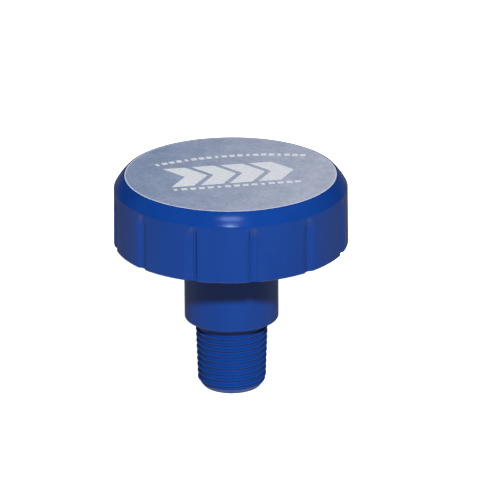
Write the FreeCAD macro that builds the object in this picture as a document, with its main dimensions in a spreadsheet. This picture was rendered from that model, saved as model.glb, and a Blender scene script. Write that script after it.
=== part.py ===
import FreeCAD, Part
import math
import os
import re
import Sketcher

# Push-to-atmosphere exhaust muffler for compressed air, moulded in plastic.
#
# The air enters the threaded stem at the bottom, rises into a perforated tube,
# passes a wire screen, felt and perforated plates, and leaves through the ring of
# slots on the underside of the base plate. A wide cap with grip grooves screws
# over the base plate's rim on a coarse thread.
#
# Frame: millimetres, +Z up along the axis, origin at the centre of the stem's end
# face. The stem is at the bottom and the cap's round label is at the top.

# ---------------------------------------------------------------- driving sizes
SIZES = {
    # threaded stem, 1/8-27 taper pipe thread
    "stem_length": 10.77,
    "stem_crest_diameter": 9.985,
    "stem_taper": 1.0 / 16.0,
    "stem_pitch": 0.9407,
    "stem_thread_depth": 0.4,
    "stem_root_flat": 0.3,
    "stem_thread_runout": 0.55,
    "stem_thread_lead_in": 1.6,
    "stem_end_diameter": 8.4,
    "stem_end_chamfer": 1.1,
    "stem_end_round": 0.2,
    "stem_bore_diameter": 6.0,
    "stem_bore_mouth": 0.3,
    # round boss above the stem, with the tube's chamber inside
    "boss_diameter": 13.78,
    "boss_length": 11.68,
    "boss_edge_round": 0.15,
    "boss_root_round": 0.6,
    "boss_floor": 1.58,
    "chamber_diameter": 10.4,
    # base plate and its threaded rim
    "base_recess": 0.8,
    "base_thickness": 1.6,
    "base_rim_height": 4.4,
    "base_rim_inner_diameter": 27.2,
    "slot_width": 1.3,
    "slot_end_radius": 0.7,
    "slot_inner_radius": 8.4,
    "slot_outer_radius": 13.0,
    "slot_count": 24,
    # coarse thread between the base rim and the cap
    "cap_thread_crest_diameter": 30.8,
    "cap_thread_depth": 0.6,
    "cap_thread_pitch": 2.0,
    "cap_thread_crest_flat": 0.5,
    "cap_thread_radial_gap": 0.15,
    "cap_thread_side_gap": 0.12,
    # how far thread cutters reach past the crest, less than meets the next turn
    "thread_cutter_margin": 0.1,
    # cap
    "cap_height": 10.4,
    "cap_top_diameter": 34.0,
    "cap_rim_diameter": 34.2,
    "cap_flat_diameter": 31.2,
    "cap_chamfer_drop": 1.9,
    "cap_chamfer_bulge_radius": 8.0,
    "cap_corner_round": 0.4,
    "cap_rim_round": 0.2,
    "cap_relief_diameter": 31.3,
    "cap_relief_depth": 0.85,
    "cap_thread_length": 4.7,
    "cap_cavity_diameter": 31.2,
    "cap_roof": 2.0,
    "cap_rib_inner_diameter": 27.6,
    "cap_rib_outer_diameter": 29.0,
    "cap_shoulder_diameter": 6.8,
    "cap_post_diameter": 4.4,
    "grip_count": 12,
    "grip_angle": 11.1,
    "grip_depth": 0.45,
    "grip_floor": 0.55,
    "grip_flank_angle": 36.0,
    "grip_ease_radius": 0.6,
    # each groove ends a little below the corner, where its floor curves out to the wall
    "grip_stop": 0.1,
    "grip_run_out_radius": 4.5,
    # round face label
    "label_diameter": 30.8,
    "label_thickness": 0.2,
    "label_gap": 0.06,
    # silencing pack
    "screen_thickness": 0.3,
    "felt_thickness": 0.9,
    "baffle_thickness": 0.25,
    "pack_outer_diameter": 26.6,
    "pack_inner_diameter": 8.2,
    "baffle_inner_hole_diameter": 0.9,
    "baffle_hole_growth": 0.25,
    "baffle_hole_count": 18,
    # diffuser tube and what goes round it
    "tube_outer_diameter": 6.4,
    "tube_inner_diameter": 5.2,
    "tube_flange_thickness": 0.8,
    "tube_hole_diameter": 1.0,
    "tube_hole_pitch": 1.8,
    "tube_row_count": 7,
    "tube_length": 14.4,
    "plug_head_diameter": 7.4,
    "plug_head_thickness": 0.4,
    "plug_spigot_length": 0.8,
    "sleeve_thickness": 0.25,
    # seal, pressure plate, clip and roof felt
    "seal_inner_diameter": 27.4,
    "seal_outer_diameter": 29.2,
    "seal_thickness": 0.6,
    "seal_gap": 0.05,
    "plate_diameter": 26.0,
    "plate_thickness": 0.7,
    "plate_hub_diameter": 7.2,
    "plate_hub_height": 1.0,
    "plate_inner_hole_diameter": 1.9,
    "plate_inner_hole_radius": 6.8,
    "plate_outer_hole_diameter": 2.4,
    "plate_outer_hole_radius": 10.4,
    "plate_hole_count": 12,
    "running_gap": 0.05,
    "clip_diameter": 7.6,
    "clip_thickness": 0.5,
    "clip_slot_width": 0.7,
    "clip_slot_diameter": 6.6,
    "clip_slot_count": 4,
    "post_end_length": 0.25,
    "roof_felt_thickness": 0.9,
    "roof_felt_outer_diameter": 27.0,
    "roof_felt_inner_diameter": 7.6,
}

FUNCTIONS = ("tan", "sqrt", "cos", "sin")
THREAD_HALF_ANGLE = 30.0  # degrees, both threads have 60 degree flanks
CUTTER_MARGIN = 0.3       # how far a grip cutter reaches past the wall and the rim
RUN_OUT_ANGLE = 34.0      # degrees, enough for a grip groove's curved end to leave the wall
LEAST_THREAD_CUT = 50.0   # mm3, each whole thread groove takes more than this away

# Heights along the axis, written once as sheet expressions.
Z_BOSS = "stem_length"
Z_FLOOR = "(stem_length + boss_floor)"
Z_TUBE = f"({Z_FLOOR} + screen_thickness)"
Z_SLEEVE = f"({Z_TUBE} + tube_flange_thickness)"
Z_TUBE_TOP = f"({Z_TUBE} + tube_length)"
Z_RIM = "(stem_length + boss_length)"
Z_PLATE_LOW = f"({Z_RIM} + base_recess)"
Z_PLATE_TOP = f"({Z_PLATE_LOW} + base_thickness)"
Z_BASE_RIM_TOP = f"({Z_PLATE_LOW} + base_rim_height)"
Z_TOP = f"({Z_RIM} + cap_height)"
Z_ROOF = f"({Z_TOP} - label_thickness - cap_roof)"
Z_FELT_LOWER = f"({Z_PLATE_TOP} + screen_thickness)"
Z_BAFFLE_LOWER = f"({Z_FELT_LOWER} + felt_thickness)"
Z_FELT_MIDDLE = f"({Z_BAFFLE_LOWER} + baffle_thickness)"
Z_BAFFLE_UPPER = f"({Z_FELT_MIDDLE} + felt_thickness)"
Z_FELT_UPPER = f"({Z_BAFFLE_UPPER} + baffle_thickness)"
Z_PLATE = f"({Z_FELT_UPPER} + felt_thickness + running_gap)"
Z_SHOULDER = f"({Z_PLATE} + plate_hub_height + running_gap)"
Z_CLIP = f"({Z_PLATE} - running_gap - clip_thickness)"

doc = FreeCAD.newDocument("ExhaustMuffler")


# ---------------------------------------------------------------- helpers
def make_sheet():
    sheet = doc.addObject("Spreadsheet::Sheet", "Size")
    for row, (alias, number) in enumerate(SIZES.items(), start=1):
        sheet.set(f"A{row}", alias)
        sheet.set(f"B{row}", repr(number))
        sheet.setAlias(f"B{row}", alias)
    doc.recompute()
    return sheet


def bound(text):
    """The expression with every alias spelled as a cell of the Size sheet."""
    def spell(word):
        return word.group() if word.group() in FUNCTIONS else "Size." + word.group()
    return re.sub(r"[a-z_]\w*", spell, text)


def number(text):
    """What a sheet expression comes to now."""
    return float(doc.Size.evalExpression(bound(text)))


def new_body(label, height=None):
    """An empty body, lifted to its height along the axis if one is given."""
    body = doc.addObject("PartDesign::Body", label)
    body.Label = label
    if height:
        body.setExpression("Placement.Base.z", bound(height))
    return body


def origin_feature(body, role):
    for feature in body.Origin.OriginFeatures:
        if feature.Role == role:
            return feature
    raise ValueError(role)


def new_sketch(body, role, name):
    sketch = body.newObject("Sketcher::SketchObject", name)
    sketch.AttachmentSupport = [(origin_feature(body, role), "")]
    sketch.MapMode = "FlatFace"
    return sketch


def arc_between(start, end, radius, side):
    """The short arc between two points, bulging left (+1) or right (-1) of the way along.

    It is always made anticlockwise, because that is how a sketch counts an arc's ends.
    """
    chord = end - start
    across = FreeCAD.Vector(-chord.y, chord.x, 0).normalize()
    rise = radius - math.sqrt(radius ** 2 - (chord.Length / 2) ** 2)
    top = (start + end) * 0.5 + across * (rise * side)
    if side > 0:
        return Part.Arc(end, top, start)
    return Part.Arc(start, top, end)


def pin_point(sketch, geometry, end, corner):
    """Hold one end of an edge at a pair of sheet expressions."""
    for kind, text in zip(("DistanceX", "DistanceY"), corner):
        index = sketch.addConstraint(Sketcher.Constraint(kind, geometry, end, number(text)))
        sketch.setExpression(f"Constraints[{index}]", bound(text))


def outline(sketch, corners, arcs=None):
    """A closed outline through corners. arcs maps an edge's index to (radius, side)."""
    arcs = arcs or {}
    points = [FreeCAD.Vector(number(x), number(y), 0) for x, y in corners]
    for index, start in enumerate(points):
        end = points[(index + 1) % len(points)]
        first = 1
        if index in arcs:
            radius, side = arcs[index]
            geometry = sketch.addGeometry(arc_between(start, end, number(radius), side), False)
            first = 2 if side > 0 else 1
            size = sketch.addConstraint(Sketcher.Constraint("Radius", geometry, number(radius)))
            sketch.setExpression(f"Constraints[{size}]", bound(radius))
        else:
            geometry = sketch.addGeometry(Part.LineSegment(start, end), False)
        pin_point(sketch, geometry, first, corners[index])
        pin_point(sketch, geometry, 3 - first, corners[(index + 1) % len(corners)])


def circle(sketch, centre, radius):
    middle = FreeCAD.Vector(number(centre[0]), number(centre[1]), 0)
    ring = sketch.addGeometry(Part.Circle(middle, FreeCAD.Vector(0, 0, 1), number(radius)), False)
    pin_point(sketch, ring, 3, centre)
    index = sketch.addConstraint(Sketcher.Constraint("Radius", ring, number(radius)))
    sketch.setExpression(f"Constraints[{index}]", bound(radius))


def revolve(body, corners, arcs=None):
    """Turn a half-section, given as (radius, height) pairs, about the axis."""
    sketch = new_sketch(body, "XZ_Plane", "HalfSection")
    outline(sketch, corners, arcs)
    turned = body.newObject("PartDesign::Revolution", "Turned")
    turned.Profile = sketch
    turned.ReferenceAxis = (sketch, ["V_Axis"])
    turned.Angle = 360
    doc.recompute()
    return turned


def ring(label, inner, outer, thickness, height):
    """A flat ring whose underside is at the given height."""
    body = new_body(label, height)
    revolve(body, [
        (inner, "0"),
        (outer, "0"),
        (outer, thickness),
        (inner, thickness),
    ])
    return body


def volume(body):
    doc.recompute()
    return body.Shape.Volume


def pocket_up(body, sketch, length):
    """Cut from the sketch upwards and check that it took something away."""
    before = volume(body)
    pocket = body.newObject("PartDesign::Pocket", "Pocket")
    pocket.Profile = sketch
    pocket.setExpression("Length", bound(length))
    pocket.Reversed = True
    if volume(body) >= before:
        raise RuntimeError(f"{body.Label}: the pocket cuts nothing")
    return pocket


def pocket_along(body, sketch, length, direction):
    """Cut from the sketch along a direction of its own and check that it took something away."""
    before = volume(body)
    pocket = body.newObject("PartDesign::Pocket", "Pocket")
    pocket.Profile = sketch
    pocket.setExpression("Length", bound(length))
    pocket.UseCustomVector = True
    pocket.Direction = direction
    if volume(body) >= before:
        raise RuntimeError(f"{body.Label}: the pocket cuts nothing")
    return pocket


def turn_out(body, sketch, axis_distance, angle):
    """Cut on from the sketch while turning it outwards, about a line across its X axis."""
    before = volume(body)
    ends = [(axis_distance, "0 - 1"), (axis_distance, "1")]
    line = Part.LineSegment(*(FreeCAD.Vector(number(x), number(y), 0) for x, y in ends))
    geometry = sketch.addGeometry(line, True)
    pin_point(sketch, geometry, 1, ends[0])
    pin_point(sketch, geometry, 2, ends[1])
    groove = body.newObject("PartDesign::Groove", "TurnOut")
    groove.Profile = sketch
    groove.ReferenceAxis = (sketch, ["Axis0"])
    groove.Angle = angle
    groove.Reversed = False
    if volume(body) >= before:
        raise RuntimeError(f"{body.Label}: the groove cuts nothing")
    return groove


def polar(body, features, count, angle=360.0):
    pattern = body.newObject("PartDesign::PolarPattern", "Pattern")
    pattern.Originals = features
    pattern.Axis = (origin_feature(body, "Z_Axis"), [""])
    pattern.Angle = angle
    if isinstance(count, str):
        pattern.setExpression("Occurrences", bound(count))
    else:
        pattern.Occurrences = count
    body.Tip = pattern
    doc.recompute()
    return pattern


def fillet_circles(body, name, radius, places):
    """Round the circular edges that lie at the given (radius, height) places."""
    base = body.Tip
    doc.recompute()
    chosen = []
    for index, edge in enumerate(base.Shape.Edges, start=1):
        if not isinstance(edge.Curve, Part.Circle):
            continue
        for place_radius, place_height in places:
            near = abs(edge.Curve.Radius - number(place_radius)) < 1e-3
            level = abs(edge.Curve.Center.z - number(place_height)) < 1e-3
            if near and level:
                chosen.append(f"Edge{index}")
    if len(chosen) < len(places):
        raise RuntimeError(f"{body.Label}: an edge to round is missing")
    rounded = body.newObject("PartDesign::Fillet", name)
    rounded.Base = (base, chosen)
    rounded.setExpression("Radius", bound(radius))
    body.Tip = rounded
    doc.recompute()
    return rounded


def cut_helix(body, corners, pitch, height, cone=0.0):
    """Cut a right-handed groove of the given section, starting at the section."""
    before = volume(body)
    sketch = new_sketch(body, "XZ_Plane", "ThreadSection")
    outline(sketch, corners)
    helix = body.newObject("PartDesign::SubtractiveHelix", "Thread")
    helix.Profile = sketch
    helix.ReferenceAxis = (sketch, ["V_Axis"])
    helix.Mode = 0
    helix.setExpression("Pitch", bound(pitch))
    helix.setExpression("Height", bound(height))
    helix.Angle = cone
    if before - volume(body) < LEAST_THREAD_CUT:
        raise RuntimeError(f"{body.Label}: the thread cuts nothing")
    return helix


def groove_section(root, mouth, root_width, level):
    """A 60 degree groove from its root radius to its mouth radius, centred on level."""
    spread = f"(sqrt(({mouth} - {root})^2) * tan({THREAD_HALF_ANGLE}))"
    return [
        (root, f"{level} - {root_width} / 2"),
        (mouth, f"{level} - {root_width} / 2 - {spread}"),
        (mouth, f"{level} + {root_width} / 2 + {spread}"),
        (root, f"{level} + {root_width} / 2"),
    ]


# ---------------------------------------------------------------- fixed body
def make_stem_body():
    """Stem, boss, slotted base plate and threaded rim: one moulding."""
    body = new_body("stem_body")
    bore = "stem_bore_diameter / 2"
    crest = "stem_crest_diameter / 2"
    rim_outer = "cap_thread_crest_diameter / 2"
    rim_inner = "base_rim_inner_diameter / 2"
    revolve(body, [
        (f"{bore} + stem_bore_mouth", "0"),
        ("stem_end_diameter / 2", "0"),
        (f"{crest} + stem_end_chamfer * stem_taper / 2", "stem_end_chamfer"),
        (f"{crest} + stem_length * stem_taper / 2", Z_BOSS),
        ("boss_diameter / 2", Z_BOSS),
        ("boss_diameter / 2", Z_PLATE_LOW),
        (rim_outer, Z_PLATE_LOW),
        (rim_outer, Z_BASE_RIM_TOP),
        (rim_inner, Z_BASE_RIM_TOP),
        (rim_inner, Z_PLATE_TOP),
        ("chamber_diameter / 2", Z_PLATE_TOP),
        ("chamber_diameter / 2", Z_FLOOR),
        (bore, Z_FLOOR),
        (bore, "stem_bore_mouth"),
    ])
    below = "stem_thread_lead_in"
    start_radius = f"({crest} - {below} * stem_taper / 2)"
    cut_helix(
        body,
        groove_section(
            f"({start_radius} - stem_thread_depth)",
            f"({start_radius} + thread_cutter_margin)",
            "stem_root_flat",
            f"0 - {below}",
        ),
        "stem_pitch",
        f"stem_length + {below} - stem_thread_runout",
        cone=math.degrees(math.atan(SIZES["stem_taper"] / 2)),
    )
    cut_helix(
        body,
        groove_section(
            f"({rim_outer} - cap_thread_depth)",
            f"({rim_outer} + thread_cutter_margin)",
            f"(cap_thread_pitch - cap_thread_crest_flat - 2 * cap_thread_depth * tan({THREAD_HALF_ANGLE}))",
            f"({Z_PLATE_LOW} - cap_thread_pitch / 2)",
        ),
        "cap_thread_pitch",
        "base_rim_height + cap_thread_pitch",
    )

    fillet_circles(body, "StemEndRound", "stem_end_round", [("stem_end_diameter / 2", "0")])
    fillet_circles(body, "BossEdgeRound", "boss_edge_round", [("boss_diameter / 2", Z_BOSS)])
    fillet_circles(body, "BossRootRound", "boss_root_round", [("boss_diameter / 2", Z_PLATE_LOW)])

    slot = new_sketch(body, "XY_Plane", "SlotSection")
    half = "slot_width / 2"
    outline(slot, [
        (f"slot_inner_radius + {half}", f"0 - {half}"),
        (f"slot_outer_radius - {half}", f"0 - {half}"),
        (f"slot_outer_radius - {half}", half),
        (f"slot_inner_radius + {half}", half),
    ], arcs={1: ("slot_end_radius", -1), 3: ("slot_end_radius", -1)})
    cut = pocket_up(body, slot, Z_PLATE_TOP)
    polar(body, [cut], "slot_count")
    return body


def make_diffuser_tube():
    """Flanged tube with rows of small holes all round it."""
    body = new_body("diffuser_tube")
    inner = "tube_inner_diameter / 2"
    outer = "tube_outer_diameter / 2"
    flange = "(chamber_diameter / 2 - running_gap)"
    revolve(body, [
        (inner, Z_TUBE),
        (flange, Z_TUBE),
        (flange, Z_SLEEVE),
        (outer, Z_SLEEVE),
        (outer, Z_TUBE_TOP),
        (inner, Z_TUBE_TOP),
    ])
    before = volume(body)
    holes = new_sketch(body, "XZ_Plane", "HoleRows")
    for row in range(SIZES["tube_row_count"]):
        level = f"{Z_SLEEVE} + ({row} + 1 / 2) * tube_hole_pitch"
        circle(holes, ("0", level), "tube_hole_diameter / 2")
    drilled = body.newObject("PartDesign::Pocket", "Holes")
    drilled.Profile = holes
    drilled.Midplane = True
    drilled.setExpression("Length", bound("tube_outer_diameter * 2"))
    if volume(body) >= before:
        raise RuntimeError("the tube's holes cut nothing")
    polar(body, [drilled], 4, angle=135.0)
    return body


def make_diffuser_plug():
    """Closes the top of the tube, so that the air turns outwards."""
    body = new_body("diffuser_plug")
    head = "plug_head_diameter / 2"
    spigot = "tube_inner_diameter / 2"
    revolve(body, [
        ("0", f"{Z_TUBE_TOP} - plug_spigot_length"),
        (spigot, f"{Z_TUBE_TOP} - plug_spigot_length"),
        (spigot, Z_TUBE_TOP),
        (head, Z_TUBE_TOP),
        (head, f"{Z_TUBE_TOP} + plug_head_thickness"),
        ("0", f"{Z_TUBE_TOP} + plug_head_thickness"),
    ])
    return body


def make_tube_parts():
    """Inlet screen, wire sleeve and felt sleeve, stacked round the tube."""
    sleeve_outer = "(tube_outer_diameter / 2 + sleeve_thickness)"
    disc = new_body("inlet_screen", Z_FLOOR)
    revolve(disc, [
        ("0", "0"),
        ("chamber_diameter / 2 - running_gap", "0"),
        ("chamber_diameter / 2 - running_gap", "screen_thickness"),
        ("0", "screen_thickness"),
    ])
    length = f"{Z_TUBE_TOP} - {Z_SLEEVE}"
    sleeve = ring("wire_sleeve", "tube_outer_diameter / 2", sleeve_outer, length, Z_SLEEVE)
    felt = ring(
        "boss_felt_sleeve",
        f"({sleeve_outer} + running_gap)",
        "chamber_diameter / 2 - running_gap",
        f"{Z_PLATE_TOP} - {Z_SLEEVE}",
        Z_SLEEVE,
    )
    return [disc, sleeve, felt]


def make_baffle(label, height):
    """Flat ring with three circles of holes."""
    body = ring(label, "pack_inner_diameter / 2", "pack_outer_diameter / 2", "baffle_thickness", height)
    holes = new_sketch(body, "XY_Plane", "Holes")
    for row in range(3):
        share = (2 * row + 1) / 6
        reach = f"(pack_inner_diameter + (pack_outer_diameter - pack_inner_diameter) * {share}) / 2"
        circle(holes, (reach, "0"), f"(baffle_inner_hole_diameter + {row} * baffle_hole_growth) / 2")
    cut = pocket_up(body, holes, "baffle_thickness * 2")
    polar(body, [cut], "baffle_hole_count")
    return body


def make_pack():
    """Exhaust screen, three felt rings and the two perforated plates between them."""
    inner = "pack_inner_diameter / 2"
    outer = "pack_outer_diameter / 2"
    pieces = [ring("exhaust_screen", "chamber_diameter / 2", outer, "screen_thickness", Z_PLATE_TOP)]
    for label, height in (
        ("felt_ring_lower", Z_FELT_LOWER),
        ("felt_ring_middle", Z_FELT_MIDDLE),
        ("felt_ring_upper", Z_FELT_UPPER),
    ):
        pieces.append(ring(label, inner, outer, "felt_thickness", height))
    pieces.append(make_baffle("baffle_plate_lower", Z_BAFFLE_LOWER))
    pieces.append(make_baffle("baffle_plate_upper", Z_BAFFLE_UPPER))
    return pieces


def make_seal():
    """Flat ring that lies on the base rim and meets the rib under the cap's roof."""
    inner = "seal_inner_diameter / 2"
    outer = "seal_outer_diameter / 2"
    return ring("cap_seal", inner, outer, "seal_thickness", Z_BASE_RIM_TOP)


# ---------------------------------------------------------------- lifting plate
def make_pressure_plate():
    """Holds the felt down. It hangs on the cap's post and doesn't turn with it."""
    body = new_body("pressure_plate", Z_PLATE)
    hub_inner = "(cap_post_diameter / 2 + running_gap)"
    revolve(body, [
        (hub_inner, "0"),
        ("plate_diameter / 2", "0"),
        ("plate_diameter / 2", "plate_thickness"),
        ("plate_hub_diameter / 2", "plate_thickness"),
        ("plate_hub_diameter / 2", "plate_hub_height"),
        (hub_inner, "plate_hub_height"),
    ])
    holes = new_sketch(body, "XY_Plane", "Holes")
    circle(holes, ("plate_inner_hole_radius", "0"), "plate_inner_hole_diameter / 2")
    circle(holes, ("plate_outer_hole_radius", "0"), "plate_outer_hole_diameter / 2")
    cut = pocket_up(body, holes, "plate_thickness * 2")
    polar(body, [cut], "plate_hole_count")
    return body


# ---------------------------------------------------------------- turning cap
def grip_section():
    """Section of one grip groove at the X axis: corners, and the arcs that ease them.

    The groove has a flat floor and sloped flanks. Each flank runs into the floor and
    into the wall on an arc of the same radius.
    """
    wall = "cap_top_diameter / 2"
    run = "(grip_depth / tan(grip_flank_angle))"
    ease = "(grip_ease_radius * tan(grip_flank_angle / 2))"
    inward = f"{ease} * sin(grip_flank_angle)"
    along = f"{ease} * cos(grip_flank_angle)"
    half_floor = "grip_floor / 2"
    outside = f"{wall} + {CUTTER_MARGIN}"
    flank = [
        (f"{wall} - grip_depth", f"{half_floor} - {ease}"),
        (f"{wall} - grip_depth + {inward}", f"{half_floor} + {along}"),
        (f"{wall} - {inward}", f"{half_floor} + {run} - {along}"),
        (wall, f"{half_floor} + {run} + {ease}"),
        (outside, f"{half_floor} + {run} + {ease}"),
    ]
    mirrored = [(x, f"0 - ({y})") for x, y in reversed(flank)]
    arcs = {
        0: ("grip_ease_radius", -1),
        2: ("grip_ease_radius", 1),
        6: ("grip_ease_radius", 1),
        8: ("grip_ease_radius", -1),
    }
    return flank + mirrored, arcs


def make_cap():
    """Threaded cover: label recess, sloped shoulder, grip grooves, rib and centre post."""
    body = new_body("cap")
    top_radius = "cap_top_diameter / 2"
    rim_radius = "cap_rim_diameter / 2"
    recess = "(label_diameter / 2 + label_gap)"
    relief = "cap_relief_diameter / 2"
    minor = "(cap_thread_crest_diameter / 2 - cap_thread_depth + cap_thread_radial_gap)"
    cavity = "cap_cavity_diameter / 2"
    z_relief = f"({Z_RIM} + cap_relief_depth)"
    z_thread_end = f"({z_relief} + cap_thread_length)"
    z_corner = f"({Z_TOP} - cap_chamfer_drop)"
    z_rib = f"({Z_BASE_RIM_TOP} + seal_thickness + seal_gap)"
    z_seat = f"({Z_TOP} - label_thickness)"
    revolve(body, [
        ("0", z_seat),
        (recess, z_seat),
        (recess, Z_TOP),
        ("cap_flat_diameter / 2", Z_TOP),
        (top_radius, z_corner),
        (rim_radius, Z_RIM),
        (relief, Z_RIM),
        (relief, z_relief),
        (minor, f"{z_relief} + {relief} - {minor}"),
        (minor, z_thread_end),
        (cavity, z_thread_end),
        (cavity, Z_ROOF),
        ("cap_rib_outer_diameter / 2", Z_ROOF),
        ("cap_rib_outer_diameter / 2", z_rib),
        ("cap_rib_inner_diameter / 2", z_rib),
        ("cap_rib_inner_diameter / 2", Z_ROOF),
        ("cap_shoulder_diameter / 2", Z_ROOF),
        ("cap_shoulder_diameter / 2", Z_SHOULDER),
        ("cap_post_diameter / 2", Z_SHOULDER),
        ("cap_post_diameter / 2", f"{Z_CLIP} - post_end_length"),
        ("0", f"{Z_CLIP} - post_end_length"),
    ], arcs={3: ("cap_chamfer_bulge_radius", 1)})
    fillet_circles(body, "CornerRound", "cap_corner_round", [(top_radius, z_corner)])
    fillet_circles(body, "RimRound", "cap_rim_round", [(rim_radius, Z_RIM)])

    run_out = "sqrt(grip_depth * (2 * grip_run_out_radius - grip_depth))"
    z_grip = f"({z_corner} - grip_stop - {run_out})"
    turned = FreeCAD.Rotation(FreeCAD.Vector(0, 0, 1), SIZES["grip_angle"])
    grip = new_sketch(body, "XY_Plane", "GripSection")
    outline(grip, *grip_section())
    grip.AttachmentOffset = FreeCAD.Placement(FreeCAD.Vector(), turned)
    grip.setExpression("AttachmentOffset.Base.z", bound(z_grip))
    grip.setExpression("AttachmentOffset.Rotation.Angle", bound("grip_angle"))
    lean = (SIZES["cap_rim_diameter"] - SIZES["cap_top_diameter"]) / 2 / SIZES["cap_height"]
    straight = pocket_along(
        body, grip, f"{z_grip} - {Z_RIM} + {CUTTER_MARGIN}", turned.multVec(FreeCAD.Vector(lean, 0, -1))
    )
    curved = turn_out(
        body, grip, f"{top_radius} - grip_depth + grip_run_out_radius", RUN_OUT_ANGLE
    )
    polar(body, [straight, curved], "grip_count")

    root = f"({minor} + cap_thread_depth)"
    cut_helix(
        body,
        groove_section(
            root,
            f"({minor} - thread_cutter_margin)",
            "(cap_thread_crest_flat + 2 * cap_thread_side_gap)",
            f"({Z_PLATE_LOW} - cap_thread_pitch)",
        ),
        "cap_thread_pitch",
        "cap_thread_length + cap_thread_pitch * 2",
    )
    return body


def make_cap_parts():
    """Label, roof felt and push-on clip, which all turn with the cap."""
    label = new_body("face_label", f"{Z_TOP} - label_thickness")
    revolve(label, [
        ("0", "0"),
        ("label_diameter / 2", "0"),
        ("label_diameter / 2", "label_thickness"),
        ("0", "label_thickness"),
    ])
    felt = ring(
        "roof_felt",
        "roof_felt_inner_diameter / 2",
        "roof_felt_outer_diameter / 2",
        "roof_felt_thickness",
        f"{Z_ROOF} - roof_felt_thickness",
    )
    clip = ring("retaining_clip", "cap_post_diameter / 2", "clip_diameter / 2", "clip_thickness", Z_CLIP)
    slot = new_sketch(clip, "XY_Plane", "TongueSlot")
    half = "clip_slot_width / 2"
    outline(slot, [
        ("cap_post_diameter / 4", f"0 - {half}"),
        ("clip_slot_diameter / 2", f"0 - {half}"),
        ("clip_slot_diameter / 2", half),
        ("cap_post_diameter / 4", half),
    ])
    cut = pocket_up(clip, slot, "clip_thickness * 2")
    polar(clip, [cut], "clip_slot_count")
    return [label, felt, clip]


# ---------------------------------------------------------------- build and export
def check_document(pieces):
    doc.recompute()
    for item in doc.Objects:
        if "Invalid" in item.State or "Error" in item.State:
            raise RuntimeError(f"{item.Label} failed: {item.State}")
    for piece in pieces:
        shape = piece.Shape
        if shape.isNull() or not shape.isValid() or len(shape.Solids) != 1:
            raise RuntimeError(f"{piece.Label}: bad shape")


def export(pieces):
    os.makedirs("parts", exist_ok=True)
    for piece in pieces:
        piece.Shape.exportStep(f"parts/{piece.Label}.step")
        print(f"{piece.Label}: {piece.Shape.Volume:.1f} mm3")


make_sheet()
pieces = [
    make_stem_body(),
    make_diffuser_tube(),
    make_diffuser_plug(),
    *make_tube_parts(),
    *make_pack(),
    make_seal(),
    make_pressure_plate(),
    make_cap(),
    *make_cap_parts(),
]
check_document(pieces)
export(pieces)
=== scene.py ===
"""The looks of a moulded exhaust muffler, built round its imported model.

Everything is in metres, +Z up along the muffler's axis. The stem's end is at zero
and the cap's round label is on top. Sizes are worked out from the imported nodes.
"""
import math

import bmesh
import bpy
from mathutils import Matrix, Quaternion, Vector, noise


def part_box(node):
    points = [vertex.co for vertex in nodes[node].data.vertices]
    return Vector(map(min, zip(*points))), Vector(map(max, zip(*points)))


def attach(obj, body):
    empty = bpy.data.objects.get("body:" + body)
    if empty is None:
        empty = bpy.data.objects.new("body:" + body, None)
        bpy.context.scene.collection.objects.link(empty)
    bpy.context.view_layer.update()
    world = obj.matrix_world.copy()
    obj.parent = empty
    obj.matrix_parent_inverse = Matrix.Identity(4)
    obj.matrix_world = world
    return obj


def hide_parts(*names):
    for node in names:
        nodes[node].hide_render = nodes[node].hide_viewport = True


MM = 0.001

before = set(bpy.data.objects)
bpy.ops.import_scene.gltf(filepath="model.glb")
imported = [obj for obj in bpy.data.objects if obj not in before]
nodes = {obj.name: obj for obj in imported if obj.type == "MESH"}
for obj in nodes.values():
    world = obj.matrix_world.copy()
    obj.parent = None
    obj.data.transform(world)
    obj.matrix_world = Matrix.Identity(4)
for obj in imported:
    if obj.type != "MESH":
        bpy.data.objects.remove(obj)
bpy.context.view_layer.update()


# ---------------------------------------------------------------- places from the frame
def reach(node):
    """How far a node reaches from the axis."""
    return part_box(node)[1].x


def bore(node):
    """How near to the axis a ring-shaped node comes."""
    return min(math.hypot(point.co.x, point.co.y) for point in nodes[node].data.vertices)


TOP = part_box("cap")[1].z
LABEL_RADIUS = reach("face_label")
LABEL_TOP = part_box("face_label")[1].z


# ---------------------------------------------------------------- material helpers
# Which sockets of a Mix node are for colours.
MIX_SHARE = 0
MIX_FIRST_COLOUR = 6
MIX_SECOND_COLOUR = 7
MIX_RESULT_COLOUR = 2


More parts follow.
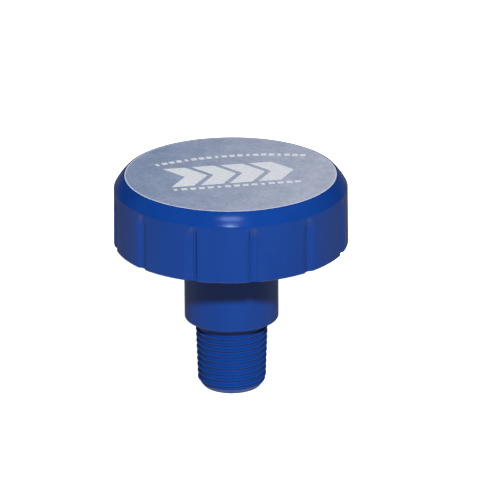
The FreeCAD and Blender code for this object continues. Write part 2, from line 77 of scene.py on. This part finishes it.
class Recipe:
    """One procedural material, with short calls for the nodes that it needs."""

    def __init__(self, name):
        self.material = bpy.data.materials.new(name)
        self.material.use_nodes = True
        self.tree = self.material.node_tree
        self.shader = self.tree.nodes["Principled BSDF"]
        self.place = self.node("ShaderNodeTexCoord").outputs["Object"]

    def node(self, kind, **settings):
        made = self.tree.nodes.new(kind)
        for key, value in settings.items():
            setattr(made, key, value)
        return made

    def join(self, value, socket):
        """Link an output to a socket, or set the socket to a plain value."""
        if isinstance(value, bpy.types.NodeSocket):
            self.tree.links.new(value, socket)
        else:
            socket.default_value = value

    def maths(self, operation, first, second):
        """Work out one sum from two outputs or plain values."""
        made = self.node("ShaderNodeMath", operation=operation)
        self.join(first, made.inputs[0])
        self.join(second, made.inputs[1])
        return made.outputs[0]

    def scaled(self, factors):
        """The place in the material, stretched by three factors."""
        made = self.node("ShaderNodeVectorMath", operation="MULTIPLY")
        self.join(self.place, made.inputs[0])
        made.inputs[1].default_value = factors
        return made.outputs[0]

    def noise(self, per_metre, detail=3.0, rough=0.5, place=None):
        """Cloudy noise, with about this many clouds in a metre."""
        made = self.node("ShaderNodeTexNoise")
        self.join(place or self.place, made.inputs["Vector"])
        made.inputs["Scale"].default_value = per_metre
        made.inputs["Detail"].default_value = detail
        made.inputs["Roughness"].default_value = rough
        return made.outputs["Fac"]

    def span(self, value, low, high, to_low=0.0, to_high=1.0):
        """Map a range of values to another range, held at its ends."""
        made = self.node("ShaderNodeMapRange")
        self.join(value, made.inputs["Value"])
        ends = {"From Min": low, "From Max": high, "To Min": to_low, "To Max": to_high}
        for name, number in ends.items():
            made.inputs[name].default_value = number
        return made.outputs["Result"]

    def blend(self, share, first, second):
        """Mix two colours by a share from 0 to 1."""
        made = self.node("ShaderNodeMix", data_type="RGBA")
        self.join(share, made.inputs[MIX_SHARE])
        self.join(first, made.inputs[MIX_FIRST_COLOUR])
        self.join(second, made.inputs[MIX_SECOND_COLOUR])
        return made.outputs[MIX_RESULT_COLOUR]

    def axis_radius(self):
        """Distance from the muffler's axis, in metres."""
        flat = self.scaled((1.0, 1.0, 0.0))
        length = self.node("ShaderNodeVectorMath", operation="LENGTH")
        self.join(flat, length.inputs[0])
        return length.outputs["Value"]

    def fade(self, direction, low, high):
        """Rises from 0 to 1 between two places along a direction."""
        along = self.node("ShaderNodeVectorMath", operation="DOT_PRODUCT")
        self.join(self.place, along.inputs[0])
        along.inputs[1].default_value = direction
        return self.span(along.outputs["Value"], low, high)

    def finish(self, colour, roughness, height=None, depth=0.0, **settings):
        """Join the colour, roughness and bump to the shader and give back the material."""
        self.join(colour, self.shader.inputs["Base Color"])
        self.join(roughness, self.shader.inputs["Roughness"])
        for name, value in settings.items():
            self.shader.inputs[name.replace("_", " ")].default_value = value
        if height is not None:
            bump = self.node("ShaderNodeBump")
            bump.inputs["Strength"].default_value = 1.0
            bump.inputs["Distance"].default_value = depth
            self.join(height, bump.inputs["Height"])
            self.join(bump.outputs["Normal"], self.shader.inputs["Normal"])
        return self.material


def linear(red, green, blue):
    """A colour given as 0 to 255 display values, as the shader's linear values."""
    def one(value):
        share = value / 255.0
        return share / 12.92 if share <= 0.04045 else ((share + 0.055) / 1.055) ** 2.4
    return (one(red), one(green), one(blue), 1.0)


# ---------------------------------------------------------------- materials
def blue_plastic():
    """Deep blue moulding: faint flow marks, a fine skin and a few dull rubs."""
    made = Recipe("blue_plastic")
    flow = made.noise(160.0, 4.0, 0.55, made.scaled((1.0, 1.0, 0.35)))
    grain = made.noise(5200.0, 2.0, 0.6)
    rubs = made.span(made.noise(420.0, 6.0, 0.7), 0.56, 0.74)
    deep = made.blend(made.span(flow, 0.3, 0.7), linear(8, 54, 130), linear(12, 60, 139))
    colour = made.blend(made.maths("MULTIPLY", rubs, 0.08), deep, linear(50, 90, 165))
    rough = made.maths(
        "ADD", made.span(flow, 0.3, 0.7, 0.15, 0.20), made.maths("MULTIPLY", rubs, 0.10)
    )
    skin = made.maths("ADD", made.maths("MULTIPLY", grain, 0.5), made.noise(900.0, 2.0, 0.5))
    return made.finish(colour, rough, skin, 0.001 * MM, IOR=1.49)


LABEL_PAINTED_LIGHT_SIDE = (0.99, -0.11, 0.0)     # painted light: the film is painted paler this way, where more light falls on it
LABEL_PAINTED_LIGHT_REACH = 0.8 * LABEL_RADIUS


def label_film():
    """Mottled grey-blue printed film with a pale cut edge, and painted light that makes it paler towards
    one side.
    """
    made = Recipe("label_film")
    clouds = made.noise(330.0, 5.0, 0.62)
    specks = made.noise(2300.0, 3.0, 0.7)
    pale = made.maths("ADD", made.maths("MULTIPLY", clouds, 0.35), made.maths("MULTIPLY", specks, 0.65))
    # Painted light: the print is painted paler towards one side, as if more light falls there.
    painted_side_light = made.fade(LABEL_PAINTED_LIGHT_SIDE, -LABEL_PAINTED_LIGHT_REACH, LABEL_PAINTED_LIGHT_REACH)
    dull = made.blend(painted_side_light, linear(128, 143, 172), linear(166, 173, 193))
    bright = made.blend(painted_side_light, linear(155, 169, 196), linear(196, 202, 219))
    print_colour = made.blend(made.span(pale, 0.38, 0.62), dull, bright)
    edge = made.span(made.axis_radius(), LABEL_RADIUS - 0.22 * MM, LABEL_RADIUS - 0.08 * MM)
    colour = made.blend(edge, print_colour, linear(222, 227, 238))
    rough = made.span(specks, 0.3, 0.7, 0.42, 0.58)
    return made.finish(colour, rough, specks, 0.004 * MM, IOR=1.5)


def label_ink():
    """Off-white screen ink, a little thin in places."""
    made = Recipe("label_ink")
    thin = made.span(made.noise(2100.0, 4.0, 0.7), 0.35, 0.62)
    colour = made.blend(thin, linear(217, 221, 228), linear(244, 246, 249))
    rough = made.span(made.noise(1400.0), 0.3, 0.7, 0.45, 0.6)
    return made.finish(colour, rough, made.noise(2600.0, 2.0), 0.003 * MM)


def wire_steel():
    """Drawn stainless wire, its tone and roughness varying at random."""
    made = Recipe("wire_steel")
    tone = made.noise(1900.0, 3.0, 0.6)
    colour = made.blend(tone, linear(150, 148, 142), linear(206, 205, 200))
    return made.finish(colour, made.span(tone, 0.3, 0.7, 0.24, 0.42), tone, 0.002 * MM, Metallic=1.0)


def sheet_steel(name, dark, light, rough_low, rough_high):
    """Rolled sheet metal with fine lines along X."""
    made = Recipe(name)
    lines = made.noise(1500.0, 3.0, 0.6, made.scaled((0.08, 1.0, 1.0)))
    stain = made.noise(260.0, 3.0)
    colour = made.blend(made.maths("MULTIPLY", made.maths("ADD", lines, stain), 0.5), dark, light)
    rough = made.span(lines, 0.3, 0.7, rough_low, rough_high)
    return made.finish(colour, rough, lines, 0.004 * MM, Metallic=1.0)


def felt_fibre():
    """Pressed wool felt: matted fibres with a soft nap."""
    made = Recipe("felt_fibre")
    matted = made.noise(1300.0, 8.0, 0.75)
    strands = made.noise(3800.0, 4.0, 0.7, made.scaled((1.0, 0.25, 1.0)))
    clouds = made.noise(210.0, 3.0)
    fleck = made.maths("MULTIPLY", made.maths("ADD", matted, clouds), 0.5)
    colour = made.blend(made.span(fleck, 0.38, 0.62), linear(186, 181, 166), linear(226, 222, 210))
    height = made.maths("ADD", matted, made.maths("MULTIPLY", strands, 0.6))
    return made.finish(
        colour, 0.95, height, 0.06 * MM, Sheen_Weight=0.35, Sheen_Roughness=0.5, Specular_IOR_Level=0.2
    )


def natural_plastic(name, dark, light, rough):
    """Plain moulding in one pigment, with faint flow marks and a fine skin."""
    made = Recipe(name)
    flow = made.noise(240.0, 4.0, 0.55, made.scaled((1.0, 1.0, 0.4)))
    skin = made.noise(3100.0, 3.0, 0.6)
    colour = made.blend(made.span(flow, 0.3, 0.7), dark, light)
    return made.finish(colour, made.span(skin, 0.3, 0.7, rough - 0.05, rough + 0.07), skin, 0.006 * MM)


def seal_rubber():
    """Black moulded rubber with a powdery bloom."""
    made = Recipe("seal_rubber")
    bloom = made.noise(700.0, 6.0, 0.7)
    skin = made.noise(3600.0, 2.0)
    colour = made.blend(made.span(bloom, 0.4, 0.75), linear(22, 22, 23), linear(52, 52, 54))
    return made.finish(colour, made.span(bloom, 0.3, 0.7, 0.55, 0.78), skin, 0.008 * MM)


MATERIALS = {
    "blue": blue_plastic(),
    "label": label_film(),
    "ink": label_ink(),
    "wire": wire_steel(),
    "felt": felt_fibre(),
    "tube": natural_plastic("tube_plastic", linear(206, 204, 194), linear(228, 226, 218), 0.42),
    "plate": natural_plastic("plate_plastic", linear(26, 26, 28), linear(40, 40, 43), 0.5),
    "baffle": sheet_steel("baffle_sheet", linear(150, 152, 155), linear(205, 207, 210), 0.28, 0.46),
    "clip": sheet_steel("clip_steel", linear(96, 97, 104), linear(150, 152, 160), 0.22, 0.38),
    "rubber": seal_rubber(),
}


def dress(piece, key):
    """Give a piece one material, in place of whatever it had."""
    piece.data.materials.clear()
    piece.data.materials.append(MATERIALS[key])


SHARP_EDGE = math.radians(40)


def soften(node, width):
    """Round a CAD node's sharp edges with modifiers, which leave its mesh as it is."""
    weld = nodes[node].modifiers.new("edge_join", "WELD")
    weld.merge_threshold = 0.001 * MM
    bevel = nodes[node].modifiers.new("edge_round", "BEVEL")
    bevel.width = width
    bevel.segments = 2
    bevel.limit_method = "ANGLE"
    bevel.angle_limit = SHARP_EDGE
    bevel.use_clamp_overlap = True
    shade = nodes[node].modifiers.new("edge_shade", "WEIGHTED_NORMAL")
    shade.keep_sharp = True


# ---------------------------------------------------------------- mesh helpers
def mesh_from(name, points, faces, smooth=True):
    made = bpy.data.meshes.new(name)
    made.from_pydata([tuple(point) for point in points], [], faces)
    made.update()
    if smooth:
        made.shade_smooth()
    return made


def add_piece(mesh_data, body, key, slot, *replaced):
    """Put a finished mesh in the scene, riding on its body."""
    piece = bpy.data.objects.new(mesh_data.name, mesh_data)
    bpy.context.scene.collection.objects.link(piece)
    dress(piece, key)
    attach(piece, body)
    if replaced:
        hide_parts(*replaced)
    return piece


def polar_point(radius, angle, height):
    return Vector((radius * math.cos(angle), radius * math.sin(angle), height))


# ---------------------------------------------------------------- woven wire
WIRE_SIDES = 5
STEPS_PER_CROSSING = 4


class Weave:
    """Collects bent wires as thin tubes in one mesh."""

    def __init__(self, wire_radius):
        self.wire_radius = wire_radius
        self.points = []
        self.faces = []

    def wire(self, path, sides, closed=False):
        """Sweep a round section along a path. Each point has its own sideways direction."""
        first = len(self.points)
        count = len(path)
        for index, (point, side) in enumerate(zip(path, sides)):
            ahead = path[(index + 1) % count] if closed or index + 1 < count else point
            behind = path[index - 1] if closed or index else point
            lift = (ahead - behind).normalized().cross(side)
            for step in range(WIRE_SIDES):
                turn = math.tau * step / WIRE_SIDES
                outward = math.cos(turn) * side + math.sin(turn) * lift
                self.points.append(point + self.wire_radius * outward)
        for index in range(count if closed else count - 1):
            here = first + index * WIRE_SIDES
            there = first + (index + 1) % count * WIRE_SIDES
            for step in range(WIRE_SIDES):
                beside = (step + 1) % WIRE_SIDES
                self.faces.append((here + step, here + beside, there + beside, there + step))
        if not closed:
            self.faces.append(tuple(range(first + WIRE_SIDES - 1, first - 1, -1)))
            last = first + (count - 1) * WIRE_SIDES
            self.faces.append(tuple(range(last, last + WIRE_SIDES)))


def spans_across(offset, inner, outer):
    """Where a straight line at an offset from the axis runs inside a ring."""
    if abs(offset) >= outer:
        return []
    far = math.sqrt(outer ** 2 - offset ** 2)
    if abs(offset) >= inner:
        return [(-far, far)]
    near = math.sqrt(inner ** 2 - offset ** 2)
    return [(-far, -near), (near, far)]


def woven_disc(node, pitch, inner=0.0):
    """A flat screen of plain-woven wire, cut to a disc or a ring."""
    low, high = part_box(node)
    wire_radius = (high.z - low.z) / 4
    middle = (high.z + low.z) / 2
    outer = high.x
    weave = Weave(wire_radius)
    count = int(outer / pitch) + 1
    for row in range(-count, count + 1):
        offset = (row + 0.5) * pitch
        for start, end in spans_across(offset, inner, outer):
            steps = max(2, round((end - start) / pitch * STEPS_PER_CROSSING))
            for along_x in (True, False):
                # Neighbouring wires bend the other way, and so do the wires that cross them.
                sign = (-1) ** row * (1 if along_x else -1)
                path = []
                for step in range(steps + 1):
                    place = start + (end - start) * step / steps
                    height = middle + sign * wire_radius * math.sin(math.pi * place / pitch)
                    path.append(Vector((place, offset, height) if along_x else (offset, place, height)))
                side = Vector((0, 1, 0)) if along_x else Vector((1, 0, 0))
                weave.wire(path, [side] * len(path))
    return add_piece(
        mesh_from(node + "_wires", weave.points, weave.faces), "base", "wire", "wire_mesh", node
    )


def woven_sleeve(node, pitch):
    """A tube of plain-woven wire: upright wires and hoops."""
    low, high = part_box(node)
    inner = bore(node)
    wire_radius = (high.x - inner) / 4
    middle = (high.x + inner) / 2
    uprights = 2 * round(math.pi * middle / pitch)
    hoops = round((high.z - low.z) / pitch)
    rise = (high.z - low.z - 2 * wire_radius) / hoops
    weave = Weave(wire_radius)
    for number in range(uprights):
        angle = math.tau * number / uprights
        path = []
        for step in range(hoops * STEPS_PER_CROSSING + 1):
            share = step / STEPS_PER_CROSSING
            radius = middle + (-1) ** number * wire_radius * math.cos(math.pi * share)
            path.append(polar_point(radius, angle, low.z + wire_radius + share * rise))
        weave.wire(path, [polar_point(1.0, angle + math.pi / 2, 0.0)] * len(path))
    for number in range(hoops):
        height = low.z + wire_radius + (number + 0.5) * rise
        path = []
        steps = uprights * STEPS_PER_CROSSING
        for step in range(steps):
            angle = math.tau * (step + 0.5) / steps
            wave = math.cos(angle * uprights / 2) * (-1) ** number
            path.append(polar_point(middle + wire_radius * wave, angle, height))
        weave.wire(path, [Vector((0, 0, 1))] * len(path), closed=True)
    return add_piece(
        mesh_from(node + "_wires", weave.points, weave.faces), "base", "wire", "wire_mesh", node
    )


# ---------------------------------------------------------------- felt
FELT_NAP = 0.07 * MM      # how deep the matted surface goes
FELT_EDGE = 0.12 * MM     # rounding of the cut edges
FELT_STEP = 0.35 * MM     # spacing of the points along its section
FELT_STEPS_AROUND = 200
FELT_EDGE_STEPS = 4
FIBRES_PER_METRE = 2600.0
LUMPS_PER_METRE = 420.0


def felt_ring(node, body):
    """A cut ring of pressed felt, a little uneven, inside the space of its solid."""
    low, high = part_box(node)
    inner, outer = bore(node), high.x
    deep = min(FELT_EDGE, (high.z - low.z) / 4)

    def edge(corner_r, corner_z, start):
        """Points round one cut edge of the section."""
        rounded = []
        for step in range(FELT_EDGE_STEPS + 1):
            angle = start + step * math.pi / (2 * FELT_EDGE_STEPS)
            rounded.append((corner_r + deep * math.cos(angle), corner_z + deep * math.sin(angle)))
        return rounded

    section = (
        edge(outer - deep, high.z - deep, 0.0)
        + edge(inner + deep, high.z - deep, math.pi / 2)
        + edge(inner + deep, low.z + deep, math.pi)
        + edge(outer - deep, low.z + deep, math.pi * 1.5)
    )
    profile = []
    for (r0, z0), (r1, z1) in zip(section, section[1:] + section[:1]):
        parts = max(1, round(math.hypot(r1 - r0, z1 - z0) / FELT_STEP))
        profile += [(r0 + (r1 - r0) * k / parts, z0 + (z1 - z0) * k / parts) for k in range(parts)]
    middle_r, middle_z = (inner + outer) / 2, (low.z + high.z) / 2
    points = []
    for turn in range(FELT_STEPS_AROUND):
        angle = math.tau * turn / FELT_STEPS_AROUND
        for radius, height in profile:
            spot = polar_point(radius, angle, height)
            fibres = 0.5 + 0.5 * noise.noise(spot * FIBRES_PER_METRE)
            lumps = 0.5 + 0.5 * noise.noise(spot * LUMPS_PER_METRE)
            inward = FELT_NAP * (0.6 * fibres + 0.4 * lumps)
            radius += math.copysign(min(inward, abs(middle_r - radius)), middle_r - radius)
            height += math.copysign(min(inward, abs(middle_z - height)), middle_z - height)
            points.append(polar_point(radius, angle, height))
    count = len(profile)
    faces = []
    for turn in range(FELT_STEPS_AROUND):
        here, there = turn * count, (turn + 1) % FELT_STEPS_AROUND * count
        for step in range(count):
            beside = (step + 1) % count
            faces.append((here + step, there + step, there + beside, here + beside))
    piece = add_piece(mesh_from(node + "_felt", points, faces), body, "felt", "felt", node)
    return piece


# ---------------------------------------------------------------- print on the label
PRINT_TURN = math.radians(10.5)   # how far the print is turned on the label
INK_HEIGHT = 0.012 * MM           # how far it stands proud


class Print:
    """Flat shapes of screen ink on the label, in one mesh."""

    def __init__(self):
        self.shapes = bmesh.new()

    def patch(self, corners):
        """One shape, from its corners in the label's plane, anticlockwise."""
        turned = []
        for x, y in corners:
            spot = Vector((x, y, 0)) * MM
            spot.rotate(Quaternion((0, 0, 1), PRINT_TURN))
            turned.append(spot)
        rings = []
        for height in (LABEL_TOP - INK_HEIGHT, LABEL_TOP + INK_HEIGHT):
            rings.append([self.shapes.verts.new((spot.x, spot.y, height)) for spot in turned])
        below, above = rings
        self.shapes.faces.new(above)
        self.shapes.faces.new(below[::-1])
        for index in range(len(corners)):
            beside = (index + 1) % len(corners)
            self.shapes.faces.new((below[index], below[beside], above[beside], above[index]))

    def bar(self, centre, length, height, lean):
        """A short bar whose long side follows a direction."""
        along = Vector((math.cos(lean), math.sin(lean))) * length / 2
        painted_side_light = Vector((-math.sin(lean), math.cos(lean))) * height / 2
        middle = Vector(centre)
        self.patch([
            middle - along - painted_side_light, middle + along - painted_side_light,
            middle + along + painted_side_light, middle - along + painted_side_light,
        ])

    def mesh(self, name):
        made = bpy.data.meshes.new(name)
        self.shapes.to_mesh(made)
        self.shapes.free()
        return made


def flow_mark(ink, count, thickness, gap, height, tip):
    """A row of chevrons that point along the label, as a plain air-flow sign."""
    length = count * thickness + (count - 1) * gap + tip
    for number in range(count):
        x = -length / 2 + number * (thickness + gap)
        half = height / 2
        ink.patch([
            (x, -half), (x + thickness, -half), (x + thickness + tip, 0),
            (x + thickness, half), (x, half), (x + tip, 0),
        ])


def make_label_print():
    """A flow sign between a straight and a curved row of dashes, in millimetres."""
    ink = Print()
    flow_mark(ink, count=4, thickness=3.3, gap=0.95, height=7.6, tip=2.6)
    row_dashes, row_pitch, row_height = 15, 1.28, -5.0
    for number in range(row_dashes):
        x = (number - (row_dashes - 1) // 2) * row_pitch
        ink.bar((x, row_height), length=0.85 if number % 5 else 0.5, height=0.75, lean=0.0)
    arc_dashes, arc_pitch, arc_radius = 20, 1.95, 34.0
    arc_x, arc_y = 1.0, -26.6
    for number in range(arc_dashes):
        angle = math.radians(90 - (number - (arc_dashes - 1) / 2) * arc_pitch)
        spot = (arc_x + arc_radius * math.cos(angle), arc_y + arc_radius * math.sin(angle))
        ink.bar(spot, length=0.8 if number % 4 else 0.45, height=0.85, lean=angle - math.pi / 2)
    add_piece(ink.mesh("label_print"), "cap", "ink", "label_film")


# ---------------------------------------------------------------- the CAD nodes' finish
def dress_nodes():
    for node, key in (
        ("stem_body", "blue"),
        ("cap", "blue"),
        ("face_label", "label"),
        ("inlet_screen", "wire"),
        ("wire_sleeve", "wire"),
        ("exhaust_screen", "wire"),
        ("diffuser_tube", "tube"),
        ("diffuser_plug", "tube"),
        ("boss_felt_sleeve", "felt"),
        ("felt_ring_lower", "felt"),
        ("felt_ring_middle", "felt"),
        ("felt_ring_upper", "felt"),
        ("roof_felt", "felt"),
        ("baffle_plate_lower", "baffle"),
        ("baffle_plate_upper", "baffle"),
        ("cap_seal", "rubber"),
        ("pressure_plate", "plate"),
        ("retaining_clip", "clip"),
    ):
        dress(nodes[node], key)


# ---------------------------------------------------------------- floor, light and camera
DARK_GLOW = 0.06          # strength of the light from the room above
SHEET_FAR_GLOW = 0.30     # from the white sheet, a little way off
SHEET_NEAR_GLOW = 0.85    # from the white sheet close under the part
BEHIND_SHARE = 0.5        # how much of it the sheet behind the part gives
HORIZON = (-0.1, 0.1)     # heights between which the sheet turns into the room
NEAR_SHEET = (-0.85, -0.45)
BEHIND = (0.3, 0.7)
FLOOR_HALF = 4.0
FLOOR_GLOW = 0.94         # the floor stays nearly white, even in the shadow


def make_floor():
    """A plain white sheet. It is only a ground to look at: the world lights the part."""
    half = FLOOR_HALF
    corners = [(-half, -half, 0), (half, -half, 0), (half, half, 0), (-half, half, 0)]
    made = Recipe("floor")
    tone = made.span(made.noise(30.0, 3.0), 0.3, 0.7)
    white = made.blend(tone, (0.9, 0.9, 0.91, 1.0), (0.91, 0.91, 0.92, 1.0))
    floor = bpy.data.objects.new("floor", mesh_from("floor", corners, [(0, 1, 2, 3)], smooth=False))
    bpy.context.scene.collection.objects.link(floor)
    floor.data.materials.append(
        made.finish(white, 0.8, Emission_Color=(1.0, 1.0, 1.0, 1.0), Emission_Strength=FLOOR_GLOW)
    )
    floor.visible_diffuse = False
    floor.visible_glossy = False


def aim(thing, target):
    thing.rotation_mode = "QUATERNION"
    thing.rotation_quaternion = (Vector(target) - thing.location).to_track_quat("-Z", "Y")


def area_light(name, azimuth, elevation, distance, width, height, power, tint=(1.0, 1.0, 1.0)):
    """A soft box that looks at the cap. Its azimuth starts at the front and goes to the right."""
    data = bpy.data.lights.new(name, "AREA")
    data.color = tint
    data.shape = "RECTANGLE"
    data.size = width
    data.size_y = height
    data.energy = power
    light = bpy.data.objects.new(name, data)
    turn, rise = math.radians(azimuth), math.radians(elevation)
    target = Vector((0, 0, TOP * 0.75))
    direction = Vector((math.sin(turn) * math.cos(rise), -math.cos(turn) * math.cos(rise), math.sin(rise)))
    light.location = target + direction * distance
    aim(light, target)
    bpy.context.scene.collection.objects.link(light)
    return light


def make_lights():
    """A small hard key, a soft box in the same place for the gloss, one overhead and two fills."""
    key = area_light(
        "key_light", azimuth=3.0, elevation=34.0, distance=1.2, width=0.08, height=0.08, power=18.2
    )
    key.visible_glossy = False
    glint = area_light(
        "glint_light", azimuth=-0.8, elevation=34.0, distance=1.2, width=0.14, height=0.22,
        power=2.6, tint=(0.8, 0.95, 1.25),
    )
    glint.visible_diffuse = False
    area_light(
        "top_light", azimuth=0.0, elevation=53.0, distance=1.0, width=0.26, height=0.14,
        power=0.60, tint=(0.75, 0.95, 1.3),
    )
    # Two low soft boxes keep the far side from going dark. They skim over the label.
    for number, azimuth in enumerate((145.0, 215.0)):
        fill = area_light(
            f"fill_light_{number}", azimuth, elevation=6.0, distance=1.2, width=0.4, height=0.2, power=5.0
        )
        fill.visible_glossy = False


def make_world():
    """A dark room over a white sheet, which is brightest close under the part.

    Its places are directions of unit length, so a height of -1 is straight down.
    """
    world = bpy.data.worlds.new("studio")
    world.use_nodes = True
    tree = world.node_tree
    back = tree.nodes["Background"]
    back.inputs["Color"].default_value = (0.95, 0.97, 1.0, 1.0)
    place = tree.nodes.new("ShaderNodeTexCoord").outputs["Generated"]
    axes = tree.nodes.new("ShaderNodeSeparateXYZ")
    tree.links.new(place, axes.inputs[0])
    depth, height = axes.outputs[1], axes.outputs[2]

    def ramp(value, span, at_low, at_high):
        """Map a range of values to another range, held at its ends."""
        made = tree.nodes.new("ShaderNodeMapRange")
        tree.links.new(value, made.inputs[0])
        for socket, number in zip(made.inputs[1:5], (*span, at_low, at_high)):
            socket.default_value = number
        return made.outputs[0]

    def maths(operation, first, second):
        made = tree.nodes.new("ShaderNodeMath")
        made.operation = operation
        tree.links.new(first, made.inputs[0])
        tree.links.new(second, made.inputs[1])
        return made.outputs[0]

    room_or_sheet = ramp(height, HORIZON, SHEET_FAR_GLOW, DARK_GLOW)
    near = ramp(height, NEAR_SHEET, SHEET_NEAR_GLOW - SHEET_FAR_GLOW, 0.0)
    behind = ramp(depth, BEHIND, 1.0, BEHIND_SHARE)
    strength = maths("MULTIPLY", maths("ADD", room_or_sheet, near), behind)
    tree.links.new(strength, back.inputs["Strength"])
    bpy.context.scene.world = world


def make_camera():
    """Looks along +Y from about twenty degrees above, as a long lens does."""
    distance = 0.70
    view_width = 72.96 * MM
    rise, roll = math.radians(21.2), math.radians(-0.3)
    target = Vector((2.75 * MM, 0, 20.97 * MM))
    data = bpy.data.cameras.new("camera")
    data.lens = data.sensor_width * distance / view_width
    camera = bpy.data.objects.new("camera", data)
    camera.location = target + Vector((0, -math.cos(rise), math.sin(rise))) * distance
    aim(camera, target)
    camera.rotation_quaternion = camera.rotation_quaternion @ Quaternion((0, 0, 1), roll)
    bpy.context.scene.collection.objects.link(camera)
    bpy.context.scene.camera = camera


# ---------------------------------------------------------------- put together
dress_nodes()
make_label_print()
woven_disc("inlet_screen", 0.5 * MM)
woven_disc("exhaust_screen", 0.7 * MM, bore("exhaust_screen"))
woven_sleeve("wire_sleeve", 0.6 * MM)
for felt in ("boss_felt_sleeve", "felt_ring_lower", "felt_ring_middle", "felt_ring_upper"):
    felt_ring(felt, "base")
felt_ring("roof_felt", "cap")
soften("face_label", 0.03 * MM)
for edged in ("cap_seal", "retaining_clip", "pressure_plate", "diffuser_plug"):
    soften(edged, 0.05 * MM)
make_floor()
make_lights()
make_world()
make_camera()
bpy.context.scene.view_settings.view_transform = "Standard"
